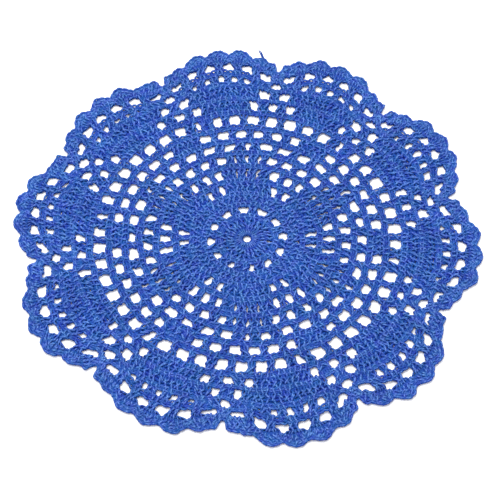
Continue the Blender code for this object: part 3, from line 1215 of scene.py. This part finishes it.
class PLACEMAT_OT_tail(Operator):
    """Leave the fastened end of the yarn standing out past the rim"""

    bl_idname = "placemat.tail"
    bl_label = "Leave Yarn Tail"

    def execute(self, context):
        skein = Skein(context.scene.placemat_yarn)
        skein.leave_tail()
        add_piece("yarn_tail", skein)
        return {"FINISHED"}


class PLACEMAT_OT_stage(Operator):
    """Set out the floor, the light and the camera"""

    bl_idname = "placemat.stage"
    bl_label = "Set Stage"

    def execute(self, context):
        stage = context.scene.placemat_stage
        add_floor(stage)
        add_light(stage)
        add_camera(stage)
        return {"FINISHED"}


def add_floor(stage):
    """Adds the plain floor, just under the mat."""
    half = stage.floor_size / 2
    data = bpy.data.meshes.new("floor")
    data.from_pydata([(-half, -half, 0), (half, -half, 0), (half, half, 0), (-half, half, 0)],
                     [], [(0, 1, 2, 3)])
    floor = bpy.data.objects.new("floor", data)
    floor.location.z = -FLOOR_DROP
    data.materials.append(floor_material(stage.floor_colour))
    bpy.context.scene.collection.objects.link(floor)


def aim(item, target, roll=0.0):
    """Turns a light or a camera to a point, then about its own line of sight."""
    direction = Vector(target) - item.location
    turn = direction.to_track_quat("-Z", "Y").to_matrix().to_4x4()
    place = Matrix.Translation(item.location)
    item.matrix_world = place @ turn @ Matrix.Rotation(roll, 4, "Z")


def add_light(stage):
    """Adds the even light from all round and the softbox over the table."""
    world = bpy.data.worlds.new("studio")
    world.use_nodes = True
    background = world.node_tree.nodes["Background"]
    background.inputs["Color"].default_value = (1.0, 1.0, 1.0, 1.0)
    background.inputs["Strength"].default_value = stage.sky
    bpy.context.scene.world = world
    data = bpy.data.lights.new("softbox", "AREA")
    data.shape = "RECTANGLE"
    data.size, data.size_y = SOFTBOX_SIZE
    data.energy = stage.softbox
    light = bpy.data.objects.new("softbox", data)
    light.location = SOFTBOX_PLACE
    bpy.context.scene.collection.objects.link(light)
    aim(light, (0.0, 0.0, 0.0))


def add_camera(stage):
    """Adds the camera, in the place that the photo was taken from."""
    data = bpy.data.cameras.new("camera")
    data.sensor_width = 36.0
    data.lens = stage.lens
    data.clip_start = 0.05
    data.clip_end = 50.0
    camera = bpy.data.objects.new("camera", data)
    target = Vector(CAMERA_TARGET)
    camera.location = target + stage.distance * Vector(
        (0.0, -math.cos(stage.elevation), math.sin(stage.elevation)))
    bpy.context.scene.collection.objects.link(camera)
    aim(camera, target, stage.roll)
    bpy.context.scene.camera = camera
    bpy.context.scene.view_settings.view_transform = "Standard"


class PLACEMAT_PT_sidebar(Panel):
    """Sizes, colours and steps of the placemat"""

    bl_idname = "PLACEMAT_PT_sidebar"
    bl_label = "Crochet Placemat"
    bl_space_type = "VIEW_3D"
    bl_region_type = "UI"
    bl_category = "Placemat"

    def draw(self, context):
        scene = context.scene
        for group in (scene.placemat_yarn, scene.placemat_stage):
            column = self.layout.column()
            for name in group.__annotations__:
                column.prop(group, name)
        for step in STEPS:
            self.layout.operator(step.bl_idname)


STEPS = (
    PLACEMAT_OT_disc, PLACEMAT_OT_fans, PLACEMAT_OT_mesh, PLACEMAT_OT_petals,
    PLACEMAT_OT_eyelets, PLACEMAT_OT_rim, PLACEMAT_OT_edging, PLACEMAT_OT_tail,
    PLACEMAT_OT_stage,
)
CLASSES = (YarnSettings, StageSettings, *STEPS, PLACEMAT_PT_sidebar)


def register():
    for kind in CLASSES:
        bpy.utils.register_class(kind)
    bpy.types.Scene.placemat_yarn = PointerProperty(type=YarnSettings)
    bpy.types.Scene.placemat_stage = PointerProperty(type=StageSettings)


def unregister():
    del bpy.types.Scene.placemat_stage
    del bpy.types.Scene.placemat_yarn
    for kind in reversed(CLASSES):
        bpy.utils.unregister_class(kind)


def main():
    register()
    bpy.ops.placemat.disc()
    bpy.ops.placemat.fans()
    bpy.ops.placemat.mesh()
    bpy.ops.placemat.petals()
    bpy.ops.placemat.eyelets()
    bpy.ops.placemat.rim()
    bpy.ops.placemat.edging()
    bpy.ops.placemat.tail()
    bpy.ops.placemat.stage()


if __name__ == "__main__":
    main()
